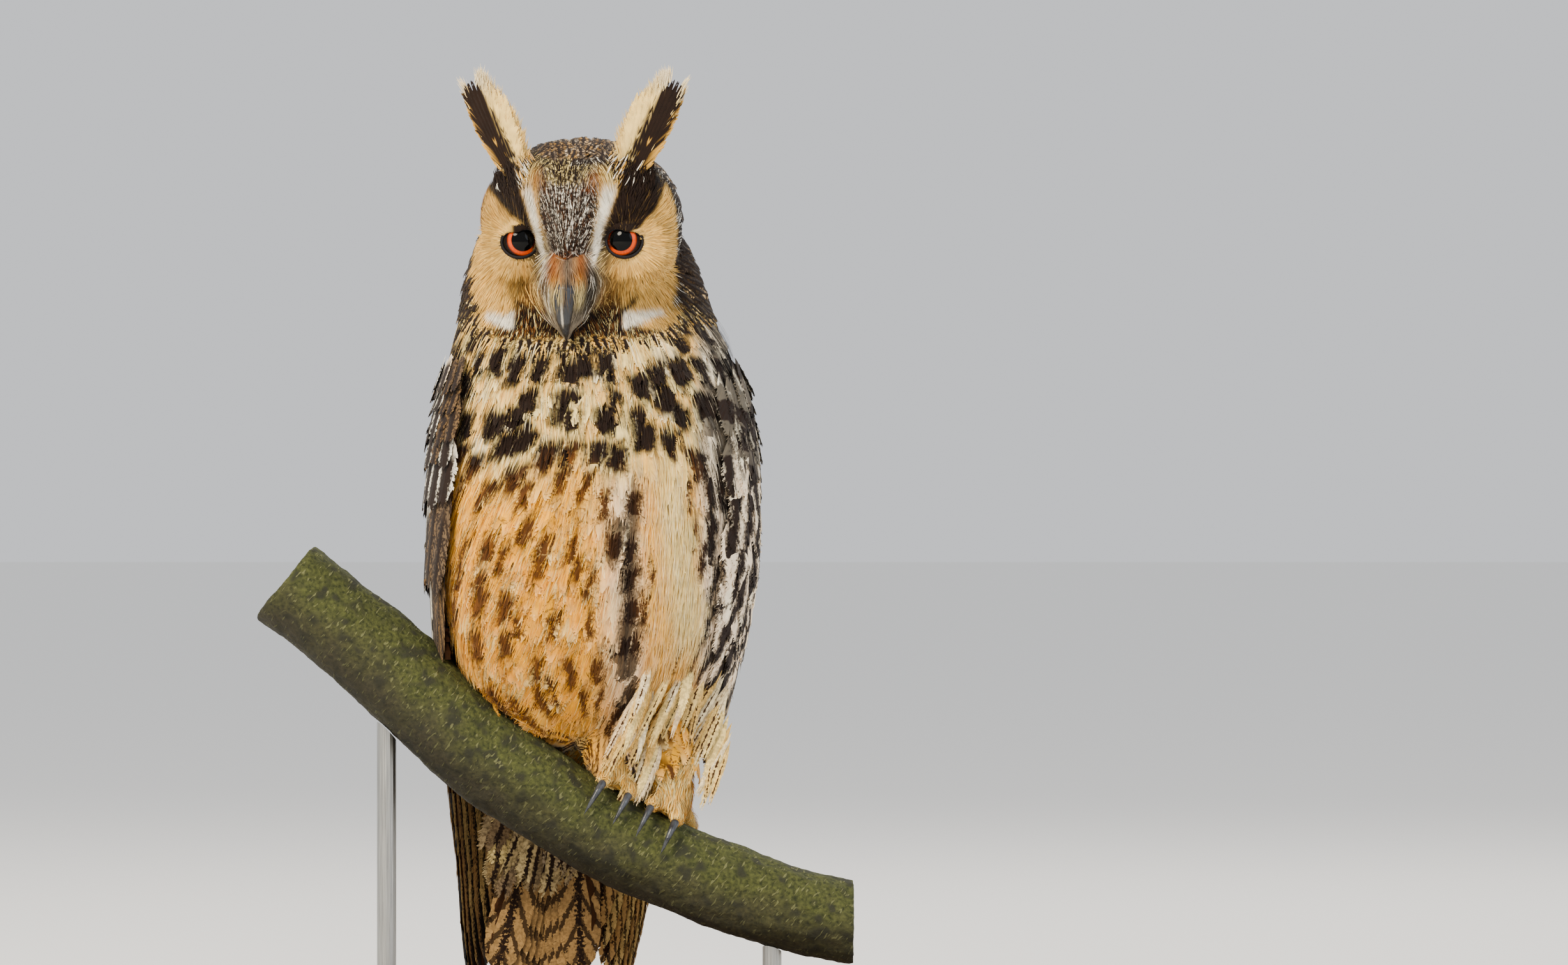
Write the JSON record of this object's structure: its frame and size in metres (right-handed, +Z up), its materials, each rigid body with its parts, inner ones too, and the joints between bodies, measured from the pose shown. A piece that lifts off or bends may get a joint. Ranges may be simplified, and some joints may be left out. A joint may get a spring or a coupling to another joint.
{
  "type": "long-eared owl model on a perch",
  "caption": "Life-size still model of a long-eared owl, upright with raised ear tufts, gripping a cut length of branch on a plain display stand.",
  "frame": {"origin": "middle of the underside of the stand's base", "axes": "+Z up, the owl facing -Y, +X towards the owl's left side"},
  "size_m": [0.29, 0.19, 0.416],
  "materials": {
    "body_plumage": "soft matt feathers, buff with dark streaks",
    "flight_plumage": "smooth feather vanes, mottled dark brown with bars",
    "eye": "wet gloss, orange iris round a black pupil",
    "horn": "smooth dark horn with a low sheen",
    "bark": "rough bark with green algae",
    "base_wood": "satin oiled wood",
    "rod_metal": "satin steel"
  },
  "bodies": {
    "root": {"head": "body_plumage", "neck": "body_plumage", "torso": "body_plumage", "leg_right": "body_plumage", "leg_left": "body_plumage", "foot_right": "body_plumage", "foot_left": "body_plumage", "wing_right": "flight_plumage", "wing_left": "flight_plumage", "tail": "flight_plumage", "ear_tuft_right": "flight_plumage", "ear_tuft_left": "flight_plumage", "eye_right": "eye", "eye_left": "eye", "bill_upper": "horn", "bill_lower": "horn", "talon_right_inner": "horn", "talon_right_middle": "horn", "talon_right_outer": "horn", "talon_right_hind": "horn", "talon_left_inner": "horn", "talon_left_middle": "horn", "talon_left_outer": "horn", "talon_left_hind": "horn", "perch_branch": "bark", "stand_base": "base_wood", "stand_rod_high": "rod_metal", "stand_rod_low": "rod_metal"}
  },
  "joints": []
}
